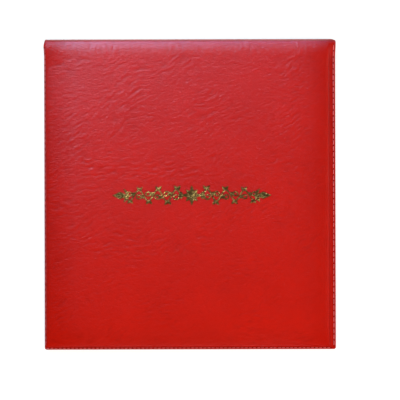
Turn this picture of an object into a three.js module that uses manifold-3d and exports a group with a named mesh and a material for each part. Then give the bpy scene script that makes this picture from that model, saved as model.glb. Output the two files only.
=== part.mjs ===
// Padded diploma cover, closed and lying on its back.
// Two boards are covered by one sheet of red leatherette that runs round a soft spine.
// The front is padded, the sewn rims carry a row of stitches, and the lining holds the document.
// X runs along the fold, Y towards the fold and Z up. The origin is under the middle, on the table.

import * as THREE from 'three';
import { mergeVertices } from 'three/addons/utils/BufferGeometryUtils.js';
import Module from 'manifold-3d';

const wasm = await Module();
wasm.setup();

// Overall size when closed, in millimetres
const COVER_WIDTH = 215;
const COVER_HEIGHT = 229;

// Thickness of each sheet, board and pad
const LEATHERETTE = 0.6;
const BOARD = 1.8;
const PAD = 3.6;
const PAD_EDGE = 0.5;
const LINER = 0.4;
const ACETATE = 0.2;
const RIBBON = 0.2;
const FOIL = 0.2;

// Clearances between glued layers, between the closed covers and under the foil
const GLUE_GAP = 0.15;
const CLOSED_GAP = 0.6;
const FOIL_SEAT = 0.1;

// Sewn rims outside the boards, and their rounded corners and folded edges
const RIM_LEFT = 1.5;
const RIM_RIGHT = 5.2;
const RIM_BOTTOM = 2.8;
const RIM_CORNER = 1.6;
const RIM_EDGE_ROUND = 0.35;
const TURN_IN = 15;

// Soft roll of the pad at the sides, the bottom and the fold
const SIDE_ROLL = 30;
const BOTTOM_ROLL = 22;
const FOLD_ROLL = 10;

// Spine and its two hinge lines
const SPINE_BULGE = 1.7;
const SPINE_END_RECESS = 0.6;
const BACK_HINGE_RISE = 2.3;
const OPEN_CLEARANCE = 0.1;
const SHEET_END_GAP = 0.55;
const HINGE_MARGIN = 5;

// Seam: distance of the thread from each edge, stitch length and thread size
const SEAM_LEFT = 0.75;
const SEAM_RIGHT = 1.5;
const SEAM_BOTTOM = 1.1;
const SEAM_START = 7;
const SIDE_STITCH = 4.25;
const BOTTOM_STITCH = 3.05;
const THREAD_WIDTH = 0.7;
const THREAD_HEIGHT = 0.5;
const THREAD_WAIST = 0.45;
const THREAD_SEAT = 0.1;

// Lining, clear sheet and corner ribbons
const LINER_INSET = 7;
const LINER_FOLD_INSET = 2;
const ACETATE_INSET = 3;
const RIBBON_WIDTH = 12;
const RIBBON_REACH = 30;
const RIBBON_TUCK = 7;

// Gold tooled ornament
const ORNAMENT_LENGTH = 117;
const ORNAMENT_HEIGHT = 15;
const ORNAMENT_X = 1.4;
const ORNAMENT_Y = -0.8;
const STEM_WAVES = 3;
const STEM_WIDTH = 1.25;
const STEM_TIP_WIDTH = 0.9;
const ROSETTE_PETALS = 8;

// Fineness of the mesh
const ROLL_STEPS = 6;
const MIDDLE_STEPS = 4;
const ARC_STEPS = 10;
const LEAF_STEPS = 5;
const STEM_STEPS = 12;
const TENDRIL_STEPS = 9;
const OVERSHOOT = 3;
const MERGE_DISTANCE = 1e-4;

// Outer edges of the closed cover
const leftEdge = -COVER_WIDTH / 2;
const rightEdge = COVER_WIDTH / 2;
const bottomEdge = -COVER_HEIGHT / 2;
const foldOuter = COVER_HEIGHT / 2;
const foldLine = foldOuter - SPINE_BULGE - LEATHERETTE / 2;
const sheetEnd = foldLine - SHEET_END_GAP;

// Height of each layer above the table, from the back cover up
const backRimTop = LEATHERETTE + GLUE_GAP + BOARD + GLUE_GAP + LEATHERETTE;
const tuckBottom = backRimTop + GLUE_GAP;
const backLinerBottom = tuckBottom + RIBBON + GLUE_GAP;
const acetateBottom = backLinerBottom + LINER + GLUE_GAP;
const ribbonBottom = acetateBottom + ACETATE + GLUE_GAP;
const ribbonTop = ribbonBottom + RIBBON;
const frontLinerBottom = ribbonTop + CLOSED_GAP;
const frontRimBottom = frontLinerBottom + LINER + GLUE_GAP;

// Heights inside a cover, measured outwards from the inner face of its rim
const rimThickness = 2 * LEATHERETTE;
const boardInner = LEATHERETTE + GLUE_GAP;
const boardOuter = boardInner + BOARD;
const padInner = boardOuter + GLUE_GAP;
const padOuter = padInner + PAD;
const skinOffset = GLUE_GAP + LEATHERETTE;
const frontTop = frontRimBottom + padOuter + skinOffset;
const foilTop = frontTop + FOIL_SEAT + FOIL;

// The two hinge lines lie in the middle of the leatherette
const backHingeHeight = BACK_HINGE_RISE;
const frontHingeHeight = foilTop - BACK_HINGE_RISE + OPEN_CLEARANCE;

// Footprint of each board
const board = {
  left: leftEdge + RIM_LEFT + skinOffset,
  right: rightEdge - RIM_RIGHT - skinOffset,
  bottom: bottomEdge + RIM_BOTTOM + skinOffset,
  fold: foldLine - HINGE_MARGIN,
};

// Footprint of each lining panel
const liner = {
  left: leftEdge + LINER_INSET,
  right: rightEdge - LINER_INSET,
  bottom: bottomEdge + LINER_INSET,
  fold: board.fold - LINER_FOLD_INSET,
};

const leatherette = new THREE.MeshStandardMaterial({ color: 0xc0201a, roughness: 0.55, metalness: 0 });
const boardCard = new THREE.MeshStandardMaterial({ color: 0x8d8271, roughness: 0.95, metalness: 0 });
const foam = new THREE.MeshStandardMaterial({ color: 0xe9e3d2, roughness: 1, metalness: 0 });
const moire = new THREE.MeshStandardMaterial({ color: 0xe8dfcc, roughness: 0.5, metalness: 0 });
const satin = new THREE.MeshStandardMaterial({ color: 0xf2ecdd, roughness: 0.35, metalness: 0 });
const clearFilm = new THREE.MeshStandardMaterial({ color: 0xf4f8fa, roughness: 0.1, metalness: 0 });
const thread = new THREE.MeshStandardMaterial({ color: 0xb73237, roughness: 0.6, metalness: 0 });
const goldFoil = new THREE.MeshStandardMaterial({ color: 0xb98a36, roughness: 0.3, metalness: 1 });
clearFilm.transparent = true;
clearFilm.opacity = 0.3;

// Turns a closed geometry into a solid that can be cut and joined
function toSolid(geometry) {
  const bare = geometry.clone();
  bare.deleteAttribute('normal');
  bare.deleteAttribute('uv');
  const merged = mergeVertices(bare, MERGE_DISTANCE);
  return new wasm.Manifold(new wasm.Mesh({
    numProp: 3,
    vertProperties: new Float32Array(merged.attributes.position.array),
    triVerts: new Uint32Array(merged.index.array),
  }));
}

function toGeometry(solid) {
  const mesh = solid.getMesh();
  const geometry = new THREE.BufferGeometry();
  geometry.setAttribute('position', new THREE.BufferAttribute(new Float32Array(mesh.vertProperties), 3));
  geometry.setIndex(Array.from(mesh.triVerts));
  geometry.computeVertexNormals();
  return geometry;
}

// Joins any number of overlapping closed geometries into one solid
function joined(geometries) {
  return geometries.map(toSolid).reduce((whole, next) => whole.add(next));
}

// A flat plate: an outline in X and Y, raised from one height to another
function plate(outline, low, high) {
  const shape = new THREE.Shape(outline.map(([x, y]) => new THREE.Vector2(x, y)));
  const geometry = new THREE.ExtrudeGeometry(shape, { depth: high - low, bevelEnabled: false });
  geometry.translate(0, 0, low);
  return geometry;
}

function rectangle({ left, right, bottom, fold }) {
  return [[left, bottom], [right, bottom], [right, fold], [left, fold]];
}

function inset({ left, right, bottom, fold }, distance) {
  return {
    left: left + distance,
    right: right - distance,
    bottom: bottom + distance,
    fold: fold - distance,
  };
}

// Height of a soft edge as a share of the full rise: a quarter ellipse from its foot to the level top
function rollShare(distance, roll) {
  const along = THREE.MathUtils.clamp(distance / roll, 0, 1);
  return Math.sqrt(1 - (1 - along) ** 2);
}

// Distances of the grid lines from an edge: close together at its foot, or one line where it has no roll
function rollLines(roll) {
  const count = roll > 0 ? ROLL_STEPS : 0;
  return Array.from({ length: count + 1 }, (_, step) => roll * (1 - Math.cos((step / ROLL_STEPS) * Math.PI / 2)));
}

// Grid lines from one edge to the other
function gridLines(low, high, lowRoll, highRoll) {
  const rising = rollLines(lowRoll).map((distance) => low + distance);
  const falling = rollLines(highRoll).map((distance) => high - distance).reverse();
  const start = low + lowRoll;
  const span = high - highRoll - start;
  const between = Array.from({ length: MIDDLE_STEPS - 1 }, (_, k) => start + (span * (k + 1)) / MIDDLE_STEPS);
  return [...rising, ...between, ...falling];
}

// A block with a flat base and a grid of heights on top
function heightBlock(xs, ys, base, heightAt) {
  const columns = xs.length;
  const rows = ys.length;
  const positions = [];
  for (const y of ys) {
    for (const x of xs) {
      positions.push(x, y, heightAt(x, y));
    }
  }
  const index = [];
  for (let row = 0; row < rows - 1; row += 1) {
    for (let column = 0; column < columns - 1; column += 1) {
      const near = row * columns + column;
      const far = near + columns;
      index.push(near, near + 1, far + 1, near, far + 1, far);
    }
  }
  const rim = [];
  for (let column = 0; column < columns - 1; column += 1) rim.push(column);
  for (let row = 0; row < rows - 1; row += 1) rim.push(row * columns + columns - 1);
  for (let column = columns - 1; column > 0; column -= 1) rim.push((rows - 1) * columns + column);
  for (let row = rows - 1; row > 0; row -= 1) rim.push(row * columns);
  const floorStart = columns * rows;
  const floor = rim.map((corner) => new THREE.Vector2(positions[3 * corner], positions[3 * corner + 1]));
  floor.forEach((point) => positions.push(point.x, point.y, base));
  rim.forEach((corner, k) => {
    const next = (k + 1) % rim.length;
    index.push(floorStart + k, floorStart + next, rim[next], floorStart + k, rim[next], corner);
  });
  for (const [a, b, c] of THREE.ShapeUtils.triangulateShape(floor, [])) {
    index.push(floorStart + c, floorStart + b, floorStart + a);
  }
  const geometry = new THREE.BufferGeometry();
  geometry.setAttribute('position', new THREE.Float32BufferAttribute(positions, 3));
  geometry.setIndex(index);
  geometry.computeVertexNormals();
  return geometry;
}

// Outer form of a covered board, grown by an offset: 0 is the pad itself.
// It rolls off at the sides and the bottom, and drops to the hinge line at the fold.
function coveredForm({ rise, edge, sideRoll, bottomRoll, foldRoll, hingeHeight, level }, offset, end) {
  const foot = inset(board, -offset);
  const foldShare = (y) => rollShare(foldLine - y, foldRoll);
  const endShare = rollShare(foldLine - sheetEnd, foldRoll);
  const foldDrop = (level + rise + skinOffset - hingeHeight - LEATHERETTE / 2) / (1 - endShare);
  const nearFold = (y) => 1 - THREE.MathUtils.smoothstep(foldLine - y, 0, 2 * foldRoll);
  const grown = (roll) => (roll > 0 ? roll + offset : 0);
  const share = (distance, roll) => (roll > 0 ? rollShare(distance, grown(roll)) : 1);
  const sideShare = (x) => share(x - foot.left, sideRoll) * share(foot.right - x, sideRoll);
  const heightAt = (x, y) => {
    const side = THREE.MathUtils.lerp(sideShare(x), 1, nearFold(y));
    const bottom = share(y - foot.bottom, bottomRoll);
    const height = level + offset + edge + (rise - edge) * side * bottom - foldDrop * (1 - foldShare(y));
    return Math.max(height, boardInner + offset - GLUE_GAP);
  };
  const xs = gridLines(foot.left, foot.right, grown(sideRoll), grown(sideRoll));
  const foldLines = gridLines(foot.bottom, foldLine, grown(bottomRoll), foldRoll);
  const ys = [...foldLines.filter((y) => y < end - MERGE_DISTANCE), end];
  return { xs, ys, heightAt };
}

// One cover's leatherette: over the board, folded round the sewn rim and turned in under the lining
function coverSkin(form) {
  const pastFold = foldOuter + OVERSHOOT;
  const outer = coveredForm(form, skinOffset, pastFold);
  const inner = coveredForm(form, GLUE_GAP, pastFold + OVERSHOOT);
  const hull = heightBlock(outer.xs, outer.ys, 0, outer.heightAt);
  const room = heightBlock(inner.xs, inner.ys, LEATHERETTE, inner.heightAt);
  const window = plate(rectangle({
    left: leftEdge + TURN_IN,
    right: rightEdge - TURN_IN,
    bottom: bottomEdge + TURN_IN,
    fold: pastFold,
  }), -OVERSHOOT, boardOuter);
  const beyondHinge = plate(rectangle({
    left: leftEdge - OVERSHOOT,
    right: rightEdge + OVERSHOOT,
    bottom: sheetEnd,
    fold: pastFold + OVERSHOOT,
  }), -OVERSHOOT, padOuter + OVERSHOOT);
  const covered = joined([rimPlate(pastFold), hull]);
  return toGeometry(covered.subtract(joined([room, window, beyondHinge])));
}

// The folded rim that stands out round three sides of a board
function rimPlate(end) {
  const flat = rimThickness - 2 * RIM_EDGE_ROUND;
  const edge = { left: leftEdge, right: rightEdge, bottom: bottomEdge, fold: end };
  const { left, right, bottom, fold } = inset(edge, RIM_EDGE_ROUND);
  const radius = RIM_CORNER - RIM_EDGE_ROUND;
  const outline = new THREE.Shape();
  outline.moveTo(left, fold);
  outline.lineTo(left, bottom + radius);
  outline.absarc(left + radius, bottom + radius, radius, Math.PI, 1.5 * Math.PI, false);
  outline.lineTo(right - radius, bottom);
  outline.absarc(right - radius, bottom + radius, radius, 1.5 * Math.PI, 2 * Math.PI, false);
  outline.lineTo(right, fold);
  outline.closePath();
  const geometry = new THREE.ExtrudeGeometry(outline, {
    depth: flat,
    bevelThickness: RIM_EDGE_ROUND,
    bevelSize: RIM_EDGE_ROUND,
    bevelSegments: 2,
    curveSegments: 4,
  });
  geometry.translate(0, 0, RIM_EDGE_ROUND);
  return geometry;
}

// Points along one straight run of the seam, two to a stitch: a hole and the crown of the thread
function seamRun(from, to, stitch) {
  const count = 2 * Math.max(1, Math.round(from.distanceTo(to) / stitch));
  return Array.from({ length: count + 1 }, (_, k) => from.clone().lerp(to, k / count));
}

// The row of stitches on the outer face of a rim, as one thread that is thin at every hole
function seamThread() {
  const left = leftEdge + SEAM_LEFT;
  const right = rightEdge - SEAM_RIGHT;
  const bottom = bottomEdge + SEAM_BOTTOM;
  const top = foldOuter - SEAM_START;
  const corners = [[left, top], [left, bottom], [right, bottom], [right, top]];
  const [start, first, second, end] = corners.map(([x, y]) => new THREE.Vector2(x, y));
  const path = [
    ...seamRun(start, first, SIDE_STITCH).slice(0, -1),
    ...seamRun(first, second, BOTTOM_STITCH).slice(0, -1),
    ...seamRun(second, end, SIDE_STITCH),
  ];
  const base = rimThickness + THREAD_SEAT;
  const positions = [];
  path.forEach((point, k) => {
    const before = path[Math.max(k - 1, 0)];
    const after = path[Math.min(k + 1, path.length - 1)];
    const along = after.clone().sub(before).normalize();
    const swell = k % 2 === 1 ? 1 : THREAD_WAIST;
    const half = (THREAD_WIDTH / 2) * swell;
    positions.push(point.x + along.y * half, point.y - along.x * half, base);
    positions.push(point.x, point.y, base + THREAD_HEIGHT * swell);
    positions.push(point.x - along.y * half, point.y + along.x * half, base);
  });
  const index = [0, 1, 2];
  for (let k = 0; k < path.length - 1; k += 1) {
    for (let side = 0; side < 3; side += 1) {
      const a = 3 * k + side;
      const b = 3 * k + ((side + 1) % 3);
      index.push(a, a + 3, b + 3, a, b + 3, b);
    }
  }
  const last = 3 * (path.length - 1);
  index.push(last, last + 2, last + 1);
  const geometry = new THREE.BufferGeometry();
  geometry.setAttribute('position', new THREE.Float32BufferAttribute(positions, 3));
  geometry.setIndex(index);
  geometry.computeVertexNormals();
  return geometry;
}

// Turns a cover's geometry upside down, for the back cover whose outside faces the table
function mirrored(geometry) {
  const flipped = geometry.clone();
  flipped.scale(1, 1, -1);
  const corners = flipped.index ? Array.from(flipped.index.array)
    : Array.from({ length: flipped.attributes.position.count }, (_, k) => k);
  const turned = corners.map((_, k) => corners[k - (k % 3) + [0, 2, 1][k % 3]]);
  flipped.setIndex(turned);
  flipped.computeVertexNormals();
  return flipped;
}

// The foam pad, level on the board and rolled off at its edges, cut square at the board's fold edge
function padGeometry(form) {
  const pad = coveredForm(form, 0, board.fold);
  return heightBlock(pad.xs, pad.ys, padInner, pad.heightAt);
}

// A strip of the rounded spine between two distances from the outer skin's middle line
function spineStrip(innerDistance, outerDistance, endGap) {
  const halfChord = (frontHingeHeight - backHingeHeight) / 2;
  const radius = (halfChord ** 2 + SPINE_BULGE ** 2) / (2 * SPINE_BULGE);
  const centreY = foldLine + SPINE_BULGE - radius;
  const centreZ = (frontHingeHeight + backHingeHeight) / 2;
  const reach = Math.asin(halfChord / radius) - endGap / radius;
  const section = new THREE.Shape();
  section.absarc(centreY, centreZ, radius + outerDistance, -reach, reach, false);
  section.absarc(centreY, centreZ, radius + innerDistance, reach, -reach, true);
  section.closePath();
  const length = COVER_WIDTH - 2 * SPINE_END_RECESS;
  const geometry = new THREE.ExtrudeGeometry(section, {
    depth: length,
    bevelEnabled: false,
    curveSegments: ARC_STEPS,
  });
  geometry.translate(0, 0, -length / 2);
  geometry.applyMatrix4(new THREE.Matrix4().makeBasis(
    new THREE.Vector3(0, 1, 0),
    new THREE.Vector3(0, 0, 1),
    new THREE.Vector3(1, 0, 0),
  ));
  return geometry;
}

// A satin ribbon across one corner of the lining, its ends folded round the edges and tucked under
function cornerRibbon(cornerX, cornerY, towardsX, towardsY) {
  const near = RIBBON_REACH;
  const far = RIBBON_REACH + RIBBON_WIDTH * Math.SQRT2;
  const over = GLUE_GAP + RIBBON;
  const tuck = RIBBON_TUCK;
  const place = (outline) => {
    const placed = outline.map(([u, v]) => [cornerX + towardsX * u, cornerY + towardsY * v]);
    return towardsX * towardsY > 0 ? placed : placed.reverse();
  };
  const swap = (outline) => outline.map(([u, v]) => [v, u]).reverse();
  const band = [[-over, near + over], [near + over, -over], [far + over, -over], [-over, far + over]];
  const fold = [[-over, near + over], [-GLUE_GAP, near + over], [-GLUE_GAP, far + over], [-over, far + over]];
  const under = [
    [-over, near + over],
    [tuck, near + 2 * over + tuck],
    [tuck, far + 2 * over + tuck],
    [-over, far + over],
  ];
  return toGeometry(joined([
    plate(place(band), ribbonBottom, ribbonTop),
    plate(place(fold), tuckBottom, ribbonTop),
    plate(place(swap(fold)), tuckBottom, ribbonTop),
    plate(place(under), tuckBottom, tuckBottom + RIBBON),
    plate(place(swap(under)), tuckBottom, tuckBottom + RIBBON),
  ]));
}

// A pointed leaf from its stalk end, at an angle in degrees
function leaf(x, y, angle, length, width) {
  const turn = THREE.MathUtils.degToRad(angle);
  const edge = (side) => Array.from({ length: LEAF_STEPS + 1 }, (_, k) => {
    const share = k / LEAF_STEPS;
    return [share * length, side * (width / 2) * Math.sin(Math.PI * share ** 0.7)];
  });
  const outline = [...edge(-1), ...edge(1).reverse().slice(1, -1)];
  return outline.map(([u, v]) => [
    x + u * Math.cos(turn) - v * Math.sin(turn),
    y + u * Math.sin(turn) + v * Math.cos(turn),
  ]);
}

function lozenge(x, y, halfWidth, halfHeight) {
  return [[x - halfWidth, y], [x, y - halfHeight], [x + halfWidth, y], [x, y + halfHeight]];
}

// A curled tendril: a spiral band that winds inwards from its start angle, in degrees
function tendril(x, y, radius, startAngle, sweep, width) {
  const edge = (side) => Array.from({ length: TENDRIL_STEPS + 1 }, (_, k) => {
    const share = k / TENDRIL_STEPS;
    const turn = THREE.MathUtils.degToRad(startAngle + sweep * share);
    const away = radius * (1 - 0.55 * share) + side * (width / 2) * (1 - 0.2 * share);
    return [x + away * Math.cos(turn), y + away * Math.sin(turn)];
  });
  const outline = [...edge(-1), ...edge(1).reverse()];
  return sweep > 0 ? outline.reverse() : outline;
}

// The wavy stem of one scroll, as a band of even width to either side of a shrinking sine wave
function stemOutline({ start, end, waves, swing }) {
  const wave = (2 * Math.PI * waves) / (end - start);
  const samples = waves * STEM_STEPS;
  const edge = (side) => Array.from({ length: samples + 1 }, (_, k) => {
    const share = k / samples;
    const x = THREE.MathUtils.lerp(start, end, share);
    const away = (side * THREE.MathUtils.lerp(STEM_WIDTH, STEM_TIP_WIDTH, share)) / 2;
    const slope = swing(x) * wave * Math.cos(wave * (x - start));
    const y = swing(x) * Math.sin(wave * (x - start));
    const length = Math.hypot(1, slope);
    return [x - (away * slope) / length, y + away / length];
  });
  return [...edge(-1), ...edge(1).reverse()];
}

// One leafy bend of a scroll: a curled tendril on a bud inside it, two leaves outside, one on the stem
function bendOutlines(x, side, size, crest, spacing) {
  const stalk = x - 0.1 * size;
  const curl = 0.29 * size;
  const stemSide = 0.57 * spacing;
  const bud = x - (curl + stemSide) / 2;
  return [
    lozenge(bud, side * -0.12 * size, (stemSide - curl) / 2 + 0.05 * size, 0.12 * size),
    tendril(x + 0.05 * size, side * -0.12 * size, 0.34 * size, side * 165, side * 330, 0.17 * size),
    leaf(stalk, side * (crest - 0.02 * size), side * 48, 0.56 * size, 0.3 * size),
    leaf(stalk, side * (crest - 0.02 * size), side * 128, 0.52 * size, 0.3 * size),
    leaf(x + 0.46 * size, side * 0.35 * size, -side * 40, 0.75 * size, 0.3 * size),
  ];
}

// The end of a scroll: a long lozenge with a leaf to either side
function finialOutlines(half, tall, length) {
  const foot = half - 2 * length;
  return [
    lozenge(half - length, 0, length, 0.36 * tall),
    lozenge(foot + 0.07 * tall, 0, 0.5 * tall, 0.12 * tall),
    leaf(foot - 0.08 * tall, 0, 52, 0.85 * tall, 0.3 * tall),
    leaf(foot - 0.08 * tall, 0, -52, 0.85 * tall, 0.3 * tall),
  ];
}

// Gold tooling: a rosette between two leafy scrolls
function ornamentOutlines() {
  const half = ORNAMENT_LENGTH / 2;
  const tall = ORNAMENT_HEIGHT / 2;
  const finial = 0.05 * ORNAMENT_LENGTH;
  const start = 1.05 * tall;
  const end = half - 1.6 * finial;
  const shrink = (x) => THREE.MathUtils.mapLinear(x, start, end, 1, 0.8);
  const swing = (x) => 0.6 * tall * shrink(x);
  const scroll = [stemOutline({ start, end, waves: STEM_WAVES, swing })];
  const bends = 2 * STEM_WAVES;
  for (let bend = 0; bend < bends; bend += 1) {
    const x = THREE.MathUtils.lerp(start, end, (bend + 0.5) / bends);
    const side = bend % 2 === 0 ? 1 : -1;
    scroll.push(...bendOutlines(x, side, tall * shrink(x), swing(x), (end - start) / bends));
  }
  scroll.push(...finialOutlines(half, tall, finial));
  scroll.push(lozenge(start, 0, 0.3 * tall, 0.4 * tall));
  const opposite = scroll.map((outline) => outline.map(([x, y]) => [-x, y]).reverse());
  const rosette = Array.from({ length: ROSETTE_PETALS }, (_, petal) => {
    const reach = petal % 2 === 0 ? tall : 0.82 * tall;
    return leaf(0, 0, (360 / ROSETTE_PETALS) * petal, reach, 0.4 * tall);
  });
  const all = [...scroll, ...opposite, ...rosette];
  return all.map((outline) => outline.map(([x, y]) => [x + ORNAMENT_X, y + ORNAMENT_Y]));
}

function ornamentGeometry() {
  const low = frontTop + FOIL_SEAT;
  return toGeometry(joined(ornamentOutlines().map((outline) => plate(outline, low, low + FOIL))));
}

function addMesh(group, name, geometry, material) {
  const mesh = new THREE.Mesh(geometry, material);
  mesh.name = name;
  group.add(mesh);
  return mesh;
}

const frontForm = {
  rise: PAD,
  edge: PAD_EDGE,
  level: padInner,
  sideRoll: SIDE_ROLL,
  bottomRoll: BOTTOM_ROLL,
  foldRoll: FOLD_ROLL,
  hingeHeight: frontHingeHeight - frontRimBottom,
};
const backForm = {
  rise: 0,
  edge: 0,
  level: boardOuter,
  sideRoll: 0,
  bottomRoll: 0,
  foldRoll: HINGE_MARGIN,
  hingeHeight: backRimTop - backHingeHeight,
};

// Back cover, with the lining that holds the document
const backCover = new THREE.Group();
const backShell = new THREE.Group();
backShell.position.z = backRimTop;
backCover.add(backShell);
addMesh(backShell, 'back_leatherette', mirrored(coverSkin(backForm)), leatherette);
addMesh(backShell, 'back_board', mirrored(plate(rectangle(board), boardInner, boardOuter)), boardCard);
addMesh(backShell, 'back_seam_thread', mirrored(seamThread()), thread);
addMesh(backCover, 'back_lining', plate(rectangle(liner), backLinerBottom, backLinerBottom + LINER), moire);
addMesh(
  backCover,
  'clear_sheet',
  plate(rectangle(inset(liner, ACETATE_INSET)), acetateBottom, acetateBottom + ACETATE),
  clearFilm,
);
const ribbonCorners = [
  ['ribbon_fold_left', liner.left, liner.fold, 1, -1],
  ['ribbon_fold_right', liner.right, liner.fold, -1, -1],
  ['ribbon_bottom_left', liner.left, liner.bottom, 1, 1],
  ['ribbon_bottom_right', liner.right, liner.bottom, -1, 1],
];
for (const [name, x, y, towardsX, towardsY] of ribbonCorners) {
  addMesh(backCover, name, cornerRibbon(x, y, towardsX, towardsY), satin);
}

// Spine: the bend of the leatherette and the strip that lines it
const spine = new THREE.Group();
const spineSkinInner = -LEATHERETTE / 2;
const spineLiningOuter = spineSkinInner - GLUE_GAP;
addMesh(spine, 'spine_leatherette', spineStrip(spineSkinInner, LEATHERETTE / 2, SHEET_END_GAP), leatherette);
addMesh(
  spine,
  'spine_lining',
  spineStrip(spineLiningOuter - LINER, spineLiningOuter, 2 * SHEET_END_GAP),
  moire,
);

// Front cover, padded, with its lining and the gold ornament
const frontCover = new THREE.Group();
const frontShell = new THREE.Group();
frontShell.position.z = frontRimBottom;
frontCover.add(frontShell);
addMesh(frontShell, 'front_leatherette', coverSkin(frontForm), leatherette);
addMesh(frontShell, 'front_board', plate(rectangle(board), boardInner, boardOuter), boardCard);
addMesh(frontShell, 'foam_pad', padGeometry(frontForm), foam);
addMesh(frontShell, 'front_seam_thread', seamThread(), thread);
addMesh(frontCover, 'front_lining', plate(rectangle(liner), frontLinerBottom, frontLinerBottom + LINER), moire);
addMesh(frontCover, 'gold_ornament', ornamentGeometry(), goldFoil);

const diplomaCover = new THREE.Group();
diplomaCover.add(backCover, spine, frontCover);

export default diplomaCover;
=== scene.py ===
"""Looks of a padded diploma cover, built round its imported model.

The cover lies closed on its back: red crushed leatherette over a padded front board, a soft spine
towards +Y, sewn rims on the other three sides, and inside them a moire lining with ribbon corners.
"""

import math
from dataclasses import dataclass

import bpy
import numpy as np
from bpy.props import FloatProperty, FloatVectorProperty, PointerProperty
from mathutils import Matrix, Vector
from mathutils.geometry import tessellate_polygon


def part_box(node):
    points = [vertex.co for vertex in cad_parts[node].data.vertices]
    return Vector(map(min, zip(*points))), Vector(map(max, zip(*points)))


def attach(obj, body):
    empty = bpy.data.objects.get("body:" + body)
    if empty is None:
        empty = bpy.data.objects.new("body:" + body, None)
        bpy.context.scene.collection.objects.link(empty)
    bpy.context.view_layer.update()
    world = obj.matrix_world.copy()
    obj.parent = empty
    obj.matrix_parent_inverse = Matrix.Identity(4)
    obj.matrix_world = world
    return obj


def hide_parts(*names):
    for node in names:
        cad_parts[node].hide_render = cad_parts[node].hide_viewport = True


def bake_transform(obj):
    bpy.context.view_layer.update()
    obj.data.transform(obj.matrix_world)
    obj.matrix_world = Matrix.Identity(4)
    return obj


bl_info = {
    "name": "Padded diploma cover",
    "version": (1, 0, 0),
    "blender": (4, 5, 0),
    "location": "3D View > Sidebar > Diploma cover",
    "description": "Builds the leatherette, stitching, linings and studio of a padded diploma cover",
    "category": "Object",
}

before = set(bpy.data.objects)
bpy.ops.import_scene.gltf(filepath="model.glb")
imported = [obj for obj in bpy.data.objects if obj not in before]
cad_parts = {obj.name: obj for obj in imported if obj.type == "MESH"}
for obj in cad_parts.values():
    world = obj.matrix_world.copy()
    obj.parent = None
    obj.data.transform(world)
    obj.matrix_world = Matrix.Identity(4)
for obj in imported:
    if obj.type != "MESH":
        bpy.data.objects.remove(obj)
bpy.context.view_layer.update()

MM = 0.001

# Outline of the closed cover and its sewn rims, in millimetres
LEFT, RIGHT = -107.5, 107.5
BOTTOM = -114.5
RIM_LEFT, RIM_RIGHT, RIM_BOTTOM = 1.5, 5.2, 2.8
RIM_THICKNESS = 1.2
RIM_CORNER = 1.6
TURN_IN = 15.0

# Layers under the leatherette, measured outwards from the inner face of a rim
SHEET = 0.6
SKIN_OFFSET = 0.75
BOARD_OUTER = 2.55
PAD_INNER = 2.7
PAD_RISE = 3.6
PAD_EDGE = 0.5

# Hinge lines and the rounded spine between them
FOLD_LINE = 112.5
HINGE_HALF_GAP = 4.45
SPINE_RADIUS = 6.6743
SPINE_CENTRE_Y = 107.5257
SPINE_JOIN_ANGLE = math.radians(35)
FRONT_BASE, BACK_BASE = 6.05, 3.3
FRONT_HINGE, BACK_HINGE = 5.15, 1.0

# Footprint of the covered board, the rims on its left, right and bottom, and the slopes down to them
FOOT_LEFT, FOOT_RIGHT, FOOT_BOTTOM = LEFT + RIM_LEFT, RIGHT - RIM_RIGHT, BOTTOM + RIM_BOTTOM
RIMS = np.array([RIM_LEFT, RIM_RIGHT, RIM_BOTTOM])
SHOULDERS = np.array([0.45, 3.0, 0.7])
RIM_ROUNDING = 0.5
SHEET_INNER = 0.55

# Stitching: distance from each edge, pitch, where the runs start and stop, and the groove along them
SEAM_LEFT, SEAM_RIGHT, SEAM_BOTTOM = 0.75, 1.5, 1.1
PITCH_LEFT, PITCH_RIGHT, PITCH_BOTTOM = 4.15, 4.35, 3.05
SEAM_TOP_LEFT, SEAM_TOP_RIGHT = 108.0, 109.8
SEAM_FROM_CORNER = 1.2
GROOVE_WIDTH, GROOVE_DEPTH, GROOVE_END = 0.5, 0.14, 109

# One stitch: points along and round it, how deep its ends sink, how high it arches, height to width
STITCH_RINGS, STITCH_SIDES = 10, 8
STITCH_SINK, STITCH_ARCH = 0.3, 0.42
STITCH_FLATNESS = 0.36

# Gold tooling, round which the leatherette is pressed flatter: its middle and half its size
TOOLING_X, TOOLING_Y = 1.4, -0.8
TOOLING_HALF_LENGTH, TOOLING_HALF_HEIGHT = 58, 8

# Relief of the back: how far it may stand out, and where on the grain it starts
BACK_RELIEF_LIMIT = 0.01
BACK_GRAIN_PLACE = 400

# Corner ribbons: how far from the corner they cross each edge, their size, bulge round an edge and rows
RIBBON_MIDDLE = 38.485
RIBBON_HALF_WIDTH = 6.0
RIBBON_HALF_THICKNESS = 0.1
RIBBON_BULGE = 0.25
RIBBON_FLAT_LENGTH = 76.5
RIBBON_ROWS = 300

# Linings: half their width, their end beside the spine, and half the spine lining's thickness
LINER_X, LINER_FOLD = 100.5, 105.5
SPINE_LINING_HALF_THICKNESS = 0.15


# What the leatherette's finish reads at each point, with the usual values: the place on the flat sheet; the
# place along a seam, the distance from it and its pitch; the depth of the creases, which sets painted shade
# in them; and the share free of the painted shade at the edges, which is 0 on the rims
FACTS = {"sheet": (0.0, 0.0, 0.0), "seam": (0.0, 99.0, 1.0), "crease": 0.0, "tone": 0.0}


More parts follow.
